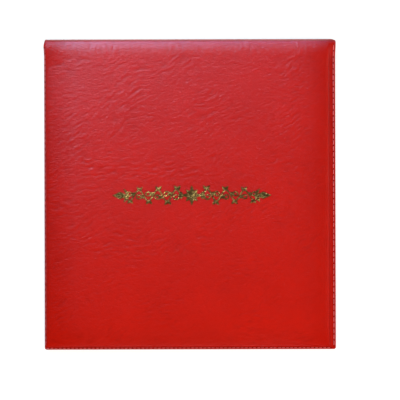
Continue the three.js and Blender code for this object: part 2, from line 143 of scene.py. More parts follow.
@dataclass(frozen=True)
class Covering:
    """How the leatherette lies over one cover. Heights are measured outwards from the rim's inner face.

    level, edge and rise are heights of the board or pad, its edge and its crown; the rolls are the widths
    over which it rounds off; edge_round is its rounded edge; fold_start is where the spine's curve starts;
    hinge, base and outward are the height of the hinge, of the inner face, and the way the cover faces.
    """

    side: str
    level: float
    edge: float
    rise: float
    side_roll: float
    bottom_roll: float
    fold_roll: float
    edge_round: float
    fold_start: float
    hinge: float
    base: float
    outward: int

    def height(self, x, y):
        """Outer face of the leatherette over the board and pad."""
        near_fold = 1 - smooth((FOLD_LINE - y) / (2 * self.fold_roll))
        side = roll(x - FOOT_LEFT, self.side_roll) * roll(FOOT_RIGHT - x, self.side_roll)
        side = side + (1 - side) * near_fold
        bottom = roll(y - FOOT_BOTTOM, self.bottom_roll)
        top = self.level + SKIN_OFFSET
        end_share = roll(np.array(SHEET_INNER), self.fold_roll)
        drop = (top + self.rise - self.hinge - SHEET / 2) / (1 - end_share)
        rounding = roll(x - FOOT_LEFT, self.edge_round) * roll(FOOT_RIGHT - x, self.edge_round)
        rounding = rounding * roll(y - FOOT_BOTTOM, self.edge_round)
        crown = self.edge + (self.rise - self.edge) * side * bottom
        into_fold = drop * (1 - roll(FOLD_LINE - y, self.fold_roll))
        return top + crown - into_fold - self.edge_round * (1 - rounding)

    def place(self, points):
        """Points from the cover's own heights to the row frame, in metres."""
        placed = np.array(points, float)
        placed[..., 2] = self.base + self.outward * placed[..., 2]
        return placed * MM


FRONT = Covering(
    side="front", level=PAD_INNER, edge=PAD_EDGE, rise=PAD_RISE, side_roll=30.75, bottom_roll=22.75,
    fold_roll=10.0, edge_round=0.0, fold_start=109.5, hinge=FRONT_HINGE, base=FRONT_BASE, outward=1,
)
BACK = Covering(
    side="back", level=BOARD_OUTER, edge=0.0, rise=0.0, side_roll=0.0, bottom_roll=0.0,
    fold_roll=5.0, edge_round=0.8, fold_start=110.0, hinge=BACK_HINGE, base=BACK_BASE, outward=-1,
)


def smooth(share):
    """Smooth step from 0 to 1."""
    share = np.clip(share, 0, 1)
    return share * share * (3 - 2 * share)


def roll(distance, width):
    """Quarter ellipse from 0 at an edge to 1 at the given width, or 1 where there is no roll."""
    if width <= 0:
        return np.ones_like(distance, dtype=float)
    return np.sqrt(np.maximum(0, 1 - (1 - np.clip(distance / width, 0, 1)) ** 2))


def drift(x, y, cell_x, cell_y, seed):
    """Smooth random field of about -1 to 1, with cells of the given size."""
    size = 256
    angles = np.random.default_rng(seed).random((size, size)) * 2 * np.pi
    gx, gy = x / cell_x, y / cell_y
    ix, iy = np.floor(gx).astype(int), np.floor(gy).astype(int)
    fx, fy = gx - ix, gy - iy
    sx, sy = fx**3 * (fx * (fx * 6 - 15) + 10), fy**3 * (fy * (fy * 6 - 15) + 10)

    def corner(dx, dy):
        angle = angles[(iy + dy) % size, (ix + dx) % size]
        return np.cos(angle) * (fx - dx) + np.sin(angle) * (fy - dy)

    low = corner(0, 0) * (1 - sx) + corner(1, 0) * sx
    high = corner(0, 1) * (1 - sx) + corner(1, 1) * sx
    return 1.5 * (low * (1 - sy) + high * sy)


def turned(x, y, degrees):
    """Coordinates turned by an angle."""
    c, s = math.cos(math.radians(degrees)), math.sin(math.radians(degrees))
    return x * c + y * s, y * c - x * s


def ridges(x, y, length, width, degrees, seed):
    """Wavy ridges and creases, from about -1 to 1, that run at an angle."""
    warp_x = x + 1.8 * drift(x, y, 7, 7, seed + 1)
    warp_y = y + 1.5 * drift(x, y, 6, 6, seed + 2)
    along, across = turned(warp_x, warp_y, degrees)
    return drift(along, across, length, width, seed)


def crushed_grain(u, v):
    """Relief, from about -1 to 1, of the crushed leatherette at unrolled places u and v."""
    level_lines = ridges(u, v, 8.5, 1.3, 4, 11)
    slanted = ridges(u, v, 8.5, 1.3, 36, 29)
    fine = ridges(u, v, 4.0, 1.15, -14, 47)
    streaks = ridges(u, v, 1.8, 9.0, 0, 71)
    slant_share = smooth(0.5 + 1.6 * drift(u, v, 34, 34, 5))
    near_fold = smooth((v - 99) / 7)
    lines = level_lines * (1 - slant_share) + slanted * slant_share + 0.45 * fine
    lines = lines * (1 - near_fold) + 0.7 * streaks * near_fold
    strength = 0.75 + 0.8 * drift(u, v, 30, 24, 83) - 0.0022 * u + 0.0016 * v
    return lines * np.clip(strength, 0.2, 1.4)


def left_normals(line):
    """Unit normals on the left of a line of points."""
    tangent = np.gradient(line, axis=0)
    tangent /= np.linalg.norm(tangent, axis=1)[:, None]
    return np.stack([-tangent[:, 1], tangent[:, 0]], 1)


def face_normals(grid):
    """Unit normals of a grid of points."""
    normal = np.cross(np.gradient(grid, axis=1), np.gradient(grid, axis=0))
    return normal / np.linalg.norm(normal, axis=-1, keepdims=True)


def lengths_along(line):
    """Length from the start of a line of points to each of them."""
    return np.concatenate([[0], np.cumsum(np.linalg.norm(np.diff(line, axis=0), axis=1))])


def spine_arc(form, radius, join_angle, count):
    """Curve of the spine from beside a cover to its own middle, as y and height."""
    centre = np.array([SPINE_CENTRE_Y, form.hinge - HINGE_HALF_GAP])
    angles = np.linspace(join_angle, 0, count)
    return centre + radius * np.stack([np.cos(angles), np.sin(angles)], 1)


def fold_profile(form, rows):
    """Stations up the middle of a cover and round to the spine's middle: y, height and sheet length."""
    start = np.array([form.fold_start, form.height(np.array(0.0), np.array(form.fold_start))])
    step = 0.01
    slope = float(form.height(np.array(0.0), np.array(form.fold_start + step)) - start[1]) / step
    arc = spine_arc(form, SPINE_RADIUS + SHEET / 2, SPINE_JOIN_ANGLE, 8)
    chord = np.linalg.norm(arc[0] - start)
    leave = np.array([1, slope]) / math.hypot(1, slope) * chord
    arrive = np.array([math.sin(SPINE_JOIN_ANGLE), -math.cos(SPINE_JOIN_ANGLE)]) * chord
    t = np.linspace(0, 1, 7)[1:-1, None]
    bridge = (
        (2 * t**3 - 3 * t**2 + 1) * start
        + (t**3 - 2 * t**2 + t) * leave
        + (3 * t**2 - 2 * t**3) * arc[0]
        + (t**3 - t**2) * arrive
    )
    flat = np.stack([rows, form.height(np.zeros_like(rows), rows)], 1)
    line = np.concatenate([flat, bridge, arc])
    length = lengths_along(line)
    before_arc = len(rows) + len(bridge)
    length = length - np.interp(FOLD_LINE, line[:before_arc, 0], length[:before_arc]) + FOLD_LINE
    return line, length


def edge_lines(low, high, spacing, low_fine, high_fine):
    """Grid lines from low to high, closer together at the ends that are marked fine."""
    fine = np.array([0.0, 0.05, 0.16, 0.36, 0.66, 1.06, 1.6, 2.3])
    start = low + (fine if low_fine else fine[:1])
    end = high - (fine[::-1] if high_fine else fine[:1])
    count = max(2, int(round((end[0] - start[-1]) / spacing)))
    return np.concatenate([start, np.linspace(start[-1], end[0], count + 1)[1:-1], end])


class Shell:
    """Collects the points and faces of one closed mesh, in mm."""

    def __init__(self):
        self.points, self.faces = [], []
        self.facts = {fact: [] for fact in FACTS}
        self.count = 0

    def add(self, points, **facts):
        """Adds points with the facts given for them, and returns their numbers."""
        grid = points.shape[:-1]
        self.points.append(points.reshape(-1, 3))
        for fact, usual in FACTS.items():
            values = np.broadcast_to(facts.get(fact, usual), grid + np.shape(usual))
            self.facts[fact].append(values.reshape(-1, *np.shape(usual)))
        numbers = self.count + np.arange(math.prod(grid)).reshape(grid)
        self.count += numbers.size
        return numbers

    def quads(self, low, high, flip=False):
        """Faces between two lines of points of the same length."""
        quad = np.stack([low[:-1], low[1:], high[1:], high[:-1]], 1)
        self.faces.extend((quad[:, ::-1] if flip else quad).tolist())

    def grid(self, numbers, flip=False):
        for low, high in zip(numbers[:-1], numbers[1:]):
            self.quads(low, high, flip)

    def zipped(self, fine, coarse, along_fine, along_coarse, flip=False):
        """Triangles between two lines with different numbers of points."""
        i, j = 0, 0
        while i < len(fine) - 1 or j < len(coarse) - 1:
            step_fine = j == len(coarse) - 1 or (
                i < len(fine) - 1 and along_fine[i + 1] <= along_coarse[j + 1]
            )
            if step_fine:
                face = [fine[i], fine[i + 1], coarse[j]]
                i += 1
            else:
                face = [fine[i], coarse[j + 1], coarse[j]]
                j += 1
            self.faces.append([int(n) for n in (face[::-1] if flip else face)])

    def build(self, name, form, material):
        """The finished mesh object, in the row frame."""
        points = form.place(np.concatenate(self.points))
        faces = [face[::-1] for face in self.faces] if form.outward < 0 else self.faces
        piece = mesh_piece(name, points, faces, material)
        for fact, parts in self.facts.items():
            values = np.concatenate(parts) * (MM if fact == "sheet" else 1)
            kind, slot = ("FLOAT_VECTOR", "vector") if values.ndim == 2 else ("FLOAT", "value")
            data = piece.data.attributes.new(fact, kind, "POINT").data
            data.foreach_set(slot, values.astype(np.float32).ravel())
        return piece


def mesh_piece(name, points, faces, material):
    """A mesh object from points in metres and faces."""
    mesh = bpy.data.meshes.new(name)
    mesh.from_pydata([tuple(p) for p in np.asarray(points).tolist()], [], faces)
    mesh.validate()
    mesh.shade_smooth()
    mesh.materials.append(material)
    return linked(name, mesh)


def linked(name, data):
    """A new object in the scene, with the given data."""
    made = bpy.data.objects.new(name, data)
    bpy.context.scene.collection.objects.link(made)
    return made


def rim_curve(form, line):
    """Top of the rim at each station, which climbs to the spine near the fold, and its outward normals."""
    climb = smooth((line[:, 0] - 101) / 11)
    climb[np.argmax(line[:, 0] > FOLD_LINE) :] = 1
    height = RIM_THICKNESS + (line[:, 1] - RIM_THICKNESS) * climb
    curve = np.stack([line[:, 0], height], 1)
    return curve, left_normals(curve)


class RimPath:
    """The way round a cover's sewn rim: down the left side, along the bottom and up the right side."""

    STRETCH_END = 100.0

    def __init__(self, form, xs, line):
        self.form, self.line = form, line
        self.curve, self.normal = rim_curve(form, line)
        stations, shares = np.meshgrid(
            np.arange(len(line)), (xs - xs[0]) / (xs[-1] - xs[0]), indexing="ij"
        )
        self.station, self.share = self.border(stations), self.border(shares)
        self.side = 1 - (self.share == 0) + (self.share == 1)

    def border(self, grid):
        """The same way round the border of a grid of values."""
        return np.concatenate([grid[::-1, 0], grid[0, 1:], grid[1:, -1]])

    def loop(self, inset_left, inset_right, inset_bottom):
        """Plan of a loop at those distances from the edges: x and y."""
        low_x, high_x, low_y = LEFT + inset_left, RIGHT - inset_right, BOTTOM + inset_bottom
        x = low_x + (high_x - low_x) * self.share
        y = self.line[self.station, 0]
        stretch = (self.STRETCH_END - low_y) / (self.STRETCH_END - FOOT_BOTTOM)
        y = np.where(y < self.STRETCH_END, low_y + (y - FOOT_BOTTOM) * stretch, y)
        for corner_x, inset, inward in ((low_x, inset_left, 1), (high_x, inset_right, -1)):
            radius = RIM_CORNER - min(inset, inset_bottom)
            if radius < 0.05:
                continue
            from_corner = np.abs(x - corner_x)
            above = y - low_y
            inside = (from_corner < radius) & (above < radius)
            turn = (1 - np.maximum(from_corner, above) / radius) * math.pi / 4
            on_bottom = from_corner > above
            off_x = np.where(on_bottom, np.sin(turn), np.cos(turn))
            off_y = np.where(on_bottom, np.cos(turn), np.sin(turn))
            x = np.where(inside, corner_x + inward * radius * (1 - off_x), x)
            y = np.where(inside, low_y + radius * (1 - off_y), y)
        return x, y

    def points(self, insets, depth):
        """Points of a loop, at a depth under the rim's outer face."""
        x, y = self.loop(*insets)
        curve, normal = self.curve[self.station], self.normal[self.station]
        bent = self.line[self.station, 0] >= self.STRETCH_END
        y = np.where(bent, curve[:, 0] - depth * normal[:, 0], y)
        height = np.where(bent, curve[:, 1] - depth * normal[:, 1], RIM_THICKNESS - depth)
        return np.stack([x, y, height], 1)

    def seam(self, insets, points):
        """Place along the seam, distance from it and pitch, for the stitch holes."""
        by_side = np.array([PITCH_LEFT, PITCH_BOTTOM, PITCH_RIGHT])[self.side]
        away = np.array([insets[0] - SEAM_LEFT, insets[2] - SEAM_BOTTOM, insets[1] - SEAM_RIGHT])
        starts = np.array([SEAM_TOP_LEFT, 0.0, SEAM_TOP_RIGHT])[self.side]
        along = np.where(self.side == 1, points[:, 0], starts - points[:, 1])
        return np.stack([along, away[self.side], by_side], 1)


def spine_end_recess(points):
    """Draws the spine in a little at its two ends, where its turned edges are."""
    bulge = np.clip((points[..., 1] - 112.0) / 2.5, 0, 1)
    depth = 0.8
    right = depth * smooth((points[..., 0] - 104.3) / 3.2)
    left = depth * smooth((-104.0 - points[..., 0]) / 3.5) * smooth((points[..., 1] - 108.5) / 5.5)
    recessed = points.copy()
    recessed[..., 0] += left
    recessed[..., 1] -= bulge * right
    return recessed


def beside_middle(form, x, y):
    """How much the leatherette at x and y is higher than at the same y in the middle of the cover."""
    held = np.minimum(y, form.fold_start)
    return form.height(x, held) - form.height(np.zeros_like(x), held)


def crown_facts(form, x, y, u, v, grain_depth):
    """Relief of the crown in mm, its creases, which get painted shade, and the share free of painted edge
    shade.
    """
    grain = crushed_grain(u, v + (0 if form.outward > 0 else BACK_GRAIN_PLACE))
    from_left, from_right, from_bottom = x - FOOT_LEFT, FOOT_RIGHT - x, y - FOOT_BOTTOM
    from_edge = np.minimum(np.minimum(from_left, from_right), from_bottom)
    near_end = smooth((np.arange(len(x)) - len(x) + 4) / 4)
    calm = smooth(from_edge / 2.5) * (1 - 0.6 * near_end)[:, None]
    swell = 0.25 * drift(u, v, 18, 15, 3)
    beside_tooling = smooth((np.abs(x - TOOLING_X) - TOOLING_HALF_LENGTH) / 7)
    off_tooling = np.maximum(beside_tooling, smooth((np.abs(y - TOOLING_Y) - TOOLING_HALF_HEIGHT) / 6))
    relief = calm * grain_depth * (swell + grain) * (0.3 + 0.7 * off_tooling)
    if form.outward < 0:
        relief = np.minimum(relief, BACK_RELIEF_LIMIT)
    # Depth of the creases, which the finish turns into painted shade
    crease = np.clip(-1.3 * grain, 0, 1) * calm
    # Painted shade: the colour darkens towards the left, right and bottom edges, where the pad rolls away
    # from the light
    tone = smooth((from_left + 6) / 48) * smooth((from_right + 10) / 42) * smooth((from_bottom + 6) / 26)
    return relief, crease, tone


def cover_leather(name, form, spacing, grain_depth, material):
    """One cover's leatherette as a closed shell: crown, sewn rim, turn-in and half of the spine."""
    xs = edge_lines(FOOT_LEFT, FOOT_RIGHT, spacing, True, True)
    rows = edge_lines(FOOT_BOTTOM, form.fold_start, spacing, True, False)
    line, length = fold_profile(form, rows)
    path = RimPath(form, xs, line)
    shell = Shell()

    # Crown and spine, with the crushed grain pressed into them
    x, y = np.meshgrid(xs, line[:, 0])
    fade = (1 - smooth((np.arange(len(line)) - len(rows)) / 5))[:, None]
    height = line[:, 1:] + beside_middle(form, x, y) * fade
    crown = spine_end_recess(np.stack([x, y, height], -1))
    u, v = np.meshgrid(xs, length)
    relief, crease, tone = crown_facts(form, x, y, u, v, grain_depth)
    crown = crown + face_normals(crown) * relief[..., None]
    sheet = np.stack([u, v, np.zeros_like(u)], -1)
    outer = shell.add(crown, sheet=sheet, crease=crease, tone=tone)
    shell.grid(outer)

    # Side of the padded board, from the crown's border down to the rim
    previous = path.border(outer)
    crown_border = path.border(crown)
    sheet_border = path.border(sheet)
    outward = np.zeros_like(sheet_border)
    outward[:, 0] = (path.side == 2) * 1.0 - (path.side == 0)
    outward[:, 1] = -1.0 * (path.side == 1)

    def next_ring(points, travelled, **facts):
        """Adds a loop of points that lies the given distance further out on the flat sheet."""
        place = sheet_border + outward * travelled
        numbers = shell.add(spine_end_recess(points), sheet=place, **facts)
        shell.quads(previous, numbers, flip=True)
        return numbers

    for share in (0.28, 0.52, 0.72, 0.88):
        rim_points = path.points(RIMS - SHOULDERS * share**2, 0.0)
        fall = 1 - (1 - share) ** 1.5
        points = crown_border * (1 - fall) + rim_points * fall
        points[:, 0] = rim_points[:, 0]
        previous = next_ring(points, 3 * share)

    # Rim from the foot of the slope to its rounded edge, with a groove along the stitching
    widths = RIMS - SHOULDERS
    for share in np.linspace(0, 1, 8):
        insets = widths + (RIM_ROUNDING - widths) * share
        points = path.points(insets, 0.0)
        seam = path.seam(insets, points)
        sewn = np.exp(-((seam[:, 1] / GROOVE_WIDTH) ** 2))
        pinch = 0.65 + 0.35 * np.cos(2 * np.pi * seam[:, 0] / seam[:, 2])
        points[:, 2] -= GROOVE_DEPTH * sewn * pinch * smooth((GROOVE_END - points[:, 1]) / 4)
        previous = next_ring(points, 3.2 + 5 * share, seam=seam)
    for turn in np.linspace(0, math.pi, 7)[1:-1]:
        inset = RIM_ROUNDING * (1 - math.sin(turn))
        depth = RIM_THICKNESS / 2 * (1 - math.cos(turn))
        previous = next_ring(path.points((inset,) * 3, depth), 8.2 + turn / 2)

    # Inner face of the rim, its turn-in, and back under the board to the foot of the room inside
    for inset in (RIM_ROUNDING, 1.1, 1.8, 3.0, 5.0, 9.0, TURN_IN):
        insets = (inset,) * 3
        points = path.points(insets, RIM_THICKNESS)
        previous = next_ring(points, 9.8 + inset, seam=path.seam(insets, points))
    foot = RIMS + SHEET
    for share in (0.0, 0.5, 1.0):
        insets = TURN_IN + (foot - TURN_IN) * share
        previous = next_ring(path.points(insets, SHEET + 0.05), 25 + 10 * share)

    # Inner face over the board and pad, on a coarse grid
    inner_xs = np.linspace(FOOT_LEFT + SHEET, FOOT_RIGHT - SHEET, 25)
    inner_x, inner_y = np.meshgrid(inner_xs, line[:, 0])
    inner_line = line - SHEET_INNER * left_normals(line)
    inner_height = inner_line[:, 1:] + beside_middle(form, inner_x, inner_y) * fade
    under_crown = np.stack(np.broadcast_arrays(inner_x, inner_line[:, :1], inner_height), -1)
    under_crown[0, :, 1] = FOOT_BOTTOM + SHEET
    under_crown[1:8, :, 1] += SHEET * (1 - np.arange(1, 8) / 8)[:, None]
    inner_sheet = np.stack(np.broadcast_arrays(inner_x, length[:, None], 90.0), -1)
    inner = shell.add(spine_end_recess(under_crown), sheet=inner_sheet)
    shell.grid(inner, flip=True)
    stations = len(line)
    left_ring = previous[:stations]
    bottom_ring = previous[stations - 1 : stations + len(xs) - 1]
    right_ring = previous[stations + len(xs) - 2 :]
    shell.quads(left_ring, inner[::-1, 0], flip=True)
    shell.quads(right_ring, inner[:, -1], flip=True)
    shell.zipped(bottom_ring, inner[0], xs, inner_xs, flip=True)
    close_spine_end(shell, path, outer, inner)
    return shell.build(name, form, material)


def close_spine_end(shell, path, outer, inner):
    """Fills the cut end of the sheet in the middle of the spine."""
    points = np.concatenate(shell.points)
    first = outer.size
    per_ring = len(path.station)
    rings = (inner[0, 0] - first) // per_ring
    left = [first + ring * per_ring for ring in range(rings)]
    right = [first + ring * per_ring + per_ring - 1 for ring in range(rings)]
    loop = [*left[::-1], *outer[-1], *right, *inner[-1][::-1]]
    flat = [Vector((points[n][0], points[n][1], 0)) for n in loop]
    for a, b, c in tessellate_polygon([flat]):
        ab, ac = flat[b] - flat[a], flat[c] - flat[a]
        upward = ab.x * ac.y - ab.y * ac.x > 0
        shell.faces.append([int(loop[n]) for n in ((a, c, b) if upward else (a, b, c))])


class Finish:
    """A material put together from nodes round one shader."""

    def __init__(self, name, colour, roughness, **values):
        self.material = bpy.data.materials.new(name)
        self.material.use_nodes = True
        self.nodes = self.material.node_tree.nodes
        self.shader = next(n for n in self.nodes if n.type == "BSDF_PRINCIPLED")
        self.use("Base Color", (*colour, 1))
        self.use("Roughness", roughness)
        self.material.diffuse_color = (*colour, 1)
        for socket, value in values.items():
            self.use(socket.replace("_", " "), value)

    def use(self, socket, value):
        self.plug(value, self.shader.inputs[socket])

    def plug(self, value, socket):
        """Gives any socket a plain value or another node's output."""
        if isinstance(value, bpy.types.NodeSocket):
            self.material.node_tree.links.new(value, socket)
        else:
            socket.default_value = value

    def node(self, kind, inputs=None, **settings):
        made = self.nodes.new(kind)
        for key, value in settings.items():
            setattr(made, key, value)
        for key, value in (inputs or {}).items():
            self.plug(value, made.inputs[key])
        return made

    def attribute(self, name):
        return self.node("ShaderNodeAttribute", attribute_name=name)

    def place(self):
        """The piece's own coordinates."""
        return self.node("ShaderNodeTexCoord").outputs["Object"]

    def stretched(self, vector, scale):
        return self.node("ShaderNodeVectorMath", {0: vector, 1: scale}, operation="MULTIPLY").outputs[0]

    def noise(self, vector, scale, detail=3.0, roughness=0.55, distortion=0.0):
        inputs = {"Vector": vector, "Scale": scale, "Detail": detail, "Roughness": roughness}
        inputs["Distortion"] = distortion
        return self.node("ShaderNodeTexNoise", inputs).outputs["Fac"]

    def waves(self, vector, scale, distortion, direction):
        inputs = {"Vector": vector, "Scale": scale, "Distortion": distortion}
        return self.node("ShaderNodeTexWave", inputs, bands_direction=direction).outputs["Fac"]

    def cells(self, vector, scale):
        inputs = {"Vector": vector, "Scale": scale, "Randomness": 1.0}
        return self.node("ShaderNodeTexVoronoi", inputs, feature="F1").outputs["Distance"]

    def math(self, operation, first, second=0.0):
        return self.node("ShaderNodeMath", {0: first, 1: second}, operation=operation).outputs[0]

    def parts(self, vector):
        return self.node("ShaderNodeSeparateXYZ", {0: vector}).outputs

    def spread(self, value, low, high, to_low=0, to_high=1):
        """Carries a value from one range to another."""
        inputs = {"Value": value, "From Min": low, "From Max": high, "To Min": to_low, "To Max": to_high}
        return self.node("ShaderNodeMapRange", inputs).outputs["Result"]

    def blend(self, share, first, second, kind="MIX"):
        """Mixes two colours by a share."""
        mix = self.node("ShaderNodeMix", {0: share}, data_type="RGBA", blend_type=kind)
        for place, colour in ((6, first), (7, second)):
            self.plug((*colour, 1) if isinstance(colour, tuple) else colour, mix.inputs[place])
        return mix.outputs[2]

    def relief(self, height, distance, strength=1.0, under=None):
        """Adds a bump, over another one if given."""
        inputs = {"Height": height, "Distance": distance, "Strength": strength}
        if under is not None:
            inputs["Normal"] = under
        return self.node("ShaderNodeBump", inputs).outputs["Normal"]


def scaled(colour, factor):
    return tuple(min(1.0, channel * factor) for channel in colour)


def leatherette_finish(colours):
    """Crushed red leatherette: fine pebbles, punched stitch holes, and painted shade in creases, holes,
    edges and rims.
    """
    red = tuple(colours.leatherette)
    finish = Finish("red_leatherette", red, 0.37)
    finish.use("Specular Tint", (*colours.leatherette_glint, 1))
    sheet = finish.attribute("sheet").outputs["Vector"]
    crease = finish.attribute("crease").outputs["Fac"]
    tone = finish.attribute("tone").outputs["Fac"]
    seam_place, seam_distance, seam_pitch = finish.parts(finish.attribute("seam").outputs["Vector"])
    cloudy = finish.noise(sheet, 26.0, 3.0)
    mottle = finish.noise(sheet, 260.0, 4.0, 0.6)
    pebble = finish.cells(sheet, 1900.0)
    wrinkle = finish.noise(finish.stretched(sheet, (420.0, 900.0, 500.0)), 1.0, 3.0, 0.6, 0.8)
    shade = finish.blend(finish.spread(cloudy, 0.3, 0.7), scaled(red, 0.93), scaled(red, 1.06))
    shade = finish.blend(finish.spread(mottle, 0.3, 0.7, 0, 0.5), shade, scaled(red, 0.86))
    # Painted shade: a darker red in the creases
    shade = finish.blend(finish.math("MULTIPLY", crease, 0.35), shade, scaled(red, 0.6))
    # Painted shade: a pinkish grey multiplied in towards the edges and all over the rims
    shade = finish.blend(tone, finish.blend(1.0, shade, (0.82, 0.72, 0.8), "MULTIPLY"), shade)

    # The shine is stronger towards the fold and weaker where shade is painted at the edges
    shine = colours.leatherette_shine
    towards_fold = finish.spread(finish.parts(sheet)[1], -0.09, 0.115, 0.5 * shine, 1.3 * shine)
    shine_share = finish.spread(tone, 0, 0.6, 0.3, 1)
    finish.use("Specular IOR Level", finish.math("MULTIPLY", shine_share, towards_fold))

    # Stitch holes, by their distance from the nearest hole along the seam and from the seam itself
    from_hole = finish.math("PINGPONG", finish.math("DIVIDE", seam_place, seam_pitch), 0.5)
    from_hole = finish.math("MULTIPLY", from_hole, seam_pitch)
    squares = [finish.math("MULTIPLY", distance, distance) for distance in (from_hole, seam_distance)]
    hole = finish.spread(finish.math("SQRT", finish.math("ADD", *squares)), 0.15, 0.55, 1, 0)
    # Painted shade: the stitch holes are painted a very dark red
    finish.use("Base Color", finish.blend(hole, shade, scaled(red, 0.16)))
    finish.use("Roughness", finish.spread(mottle, 0.25, 0.75, 0.31, 0.43))
    bumps = finish.relief(pebble, 0.00005, 0.5)
    bumps = finish.relief(wrinkle, 0.0003, 0.7, bumps)
    finish.use("Normal", finish.relief(finish.math("SUBTRACT", 1.0, hole), 0.0003, 0.6, bumps))
    return finish.material


def thread_finish(colours):
    """Twisted polyester thread in a paler red."""
    red = tuple(colours.thread)
    finish = Finish("sewing_thread", red, 0.5)
    along = finish.attribute("sheet").outputs["Vector"]
    twist = finish.waves(along, 1400.0, 0.6, "DIAGONAL")
    fluff = finish.noise(along, 3000.0, 2.0)
    # Painted shade in the grooves between the twisted strands
    twist_shade = finish.spread(twist, 0, 1, 0, 0.6)
    finish.use("Base Color", finish.blend(twist_shade, scaled(red, 1.1), scaled(red, 0.6)))
    finish.use("Normal", finish.relief(fluff, 0.00004, 0.4, finish.relief(twist, 0.0001, 0.7)))
    return finish.material


def moire_finish(colours):
    """Ivory moire: fine ribs across the cloth, with a watered sheen that wanders over them."""
    ivory = tuple(colours.lining)
    finish = Finish("ivory_moire", ivory, 0.45)
    place = finish.place()
    wander = finish.noise(finish.stretched(place, (10.0, 60.0, 10.0)), 1.0, 3.0, 0.5, 2.2)
    rings = finish.math("PINGPONG", finish.math("MULTIPLY", wander, 9.0), 0.5)
    ribs = finish.waves(place, 520.0, 0.4, "Y")
    shade = finish.blend(finish.spread(rings, 0.1, 0.4), scaled(ivory, 0.9), scaled(ivory, 1.05))
    finish.use("Base Color", finish.blend(finish.math("MULTIPLY", ribs, 0.18), shade, scaled(ivory, 0.82)))
    finish.use("Roughness", finish.spread(rings, 0.1, 0.4, 0.34, 0.58))
    finish.use("Normal", finish.relief(ribs, 0.00006, 0.5))
    return finish.material


def satin_finish(colours):
    """White satin ribbon with a fine weft and selvedge."""
    white = tuple(colours.ribbon)
    finish = Finish("satin_ribbon", white, 0.3, Sheen_Weight=0.3)
    place = finish.place()
    weft = finish.noise(finish.stretched(place, (2600.0, 420.0, 800.0)), 1.0, 2.0)
    threads = finish.spread(weft, 0.3, 0.7, 0, 0.4)
    finish.use("Base Color", finish.blend(threads, white, scaled(white, 0.86)))
    finish.use("Roughness", finish.spread(weft, 0.3, 0.7, 0.26, 0.4))
    finish.use("Normal", finish.relief(weft, 0.00005, 0.4))
    return finish.material


def film_finish():
    """Clear film with faint ripples and handling scuffs."""
    finish = Finish("clear_film", (0.9, 0.93, 0.95), 0.12)
    finish.use("Alpha", 0.12)
    ripple = finish.noise(finish.place(), 22.0, 2.0)
    finish.use("Roughness", finish.spread(finish.noise(finish.place(), 300.0, 4.0), 0.4, 0.7, 0.07, 0.25))
    finish.use("Normal", finish.relief(ripple, 0.0006, 0.15))
    return finish.material


def card_finish():
    """Grey board, with fibres and specks."""
    grey = (0.27, 0.225, 0.165)
    finish = Finish("grey_board", grey, 0.9)
    fibres = finish.noise(finish.stretched(finish.place(), (700.0, 160.0, 900.0)), 1.0, 5.0, 0.65)
    specks = finish.spread(finish.noise(finish.place(), 900.0, 2.0), 0.6, 0.72, 0, 0.5)
    shade = finish.blend(finish.spread(fibres, 0.3, 0.7), scaled(grey, 0.8), scaled(grey, 1.15))
    finish.use("Base Color", finish.blend(specks, shade, scaled(grey, 0.5)))
    finish.use("Normal", finish.relief(fibres, 0.0001, 0.5))
    return finish.material


def foam_finish():
    """Cream foam with open cells."""
    cream = (0.82, 0.76, 0.62)
    finish = Finish("cream_foam", cream, 0.95)
    cells = finish.cells(finish.place(), 900.0)
    # Painted shade: the open cells are darker in their middles, where shade falls into them
    finish.use("Base Color", finish.blend(finish.spread(cells, 0.0, 0.6), scaled(cream, 0.6), cream))
    finish.use("Normal", finish.relief(cells, 0.0003, 0.7))
    return finish.material


def foil_finish(colours):
    """Gold foil tooled into grained leatherette: painted dark as a dark reflection, with broken painted
    glints.
    """
    gold = tuple(colours.foil)
    finish = Finish("gold_foil", gold, 0.3, Metallic=1.0)
    place = finish.place()
    broken = finish.noise(place, 700.0, 3.0, 0.6)
    glints_and_gloss = finish.noise(place, 190.0, 4.0, 0.65)
    # Painted reflection: most of the foil is painted a dark gold, as if it reflected a dark room, and
    # patches are painted as glints; the same pattern makes the glints smoother
    painted_glint = finish.spread(glints_and_gloss, 0.45, 0.62)
    finish.use("Base Color", finish.blend(painted_glint, scaled(gold, 0.36), scaled(gold, 1.5)))
    finish.use("Roughness", finish.spread(glints_and_gloss, 0.35, 0.65, 0.42, 0.22))
    finish.use("Normal", finish.relief(broken, 0.0008, 0.8))
    return finish.material


def length_setting(name, description, default, low, high):
    return FloatProperty(
        name=name, description=description, default=default, min=low, max=high, unit="LENGTH", precision=5)


def colour_setting(name, description, default):
    return FloatVectorProperty(
        name=name, description=description, default=default, min=0, max=1, size=3, subtype="COLOR")


def number_setting(name, description, default, high):
    return FloatProperty(name=name, description=description, default=default, min=0, max=high)


class CoverSizes(bpy.types.PropertyGroup):
    """Sizes of the parts of the cover that are made here."""

    front_spacing: length_setting(
        "Front mesh spacing", "Distance between mesh lines of the padded front", 0.00087, 0.0004, 0.005)
    back_spacing: length_setting(
        "Back mesh spacing", "Distance between mesh lines of the back", 0.0012, 0.0005, 0.005)
    grain_depth: length_setting(
        "Grain depth", "Depth of the creases in the crushed leatherette", 0.00015, 0.0, 0.0005)
    thread_width: length_setting(
        "Thread width", "Width of one stitch of the sewing thread", 0.0007, 0.0003, 0.0015)
    hole_gap: length_setting(
        "Gap between stitches", "Length of the hole between two stitches", 0.0006, 0.0, 0.002)


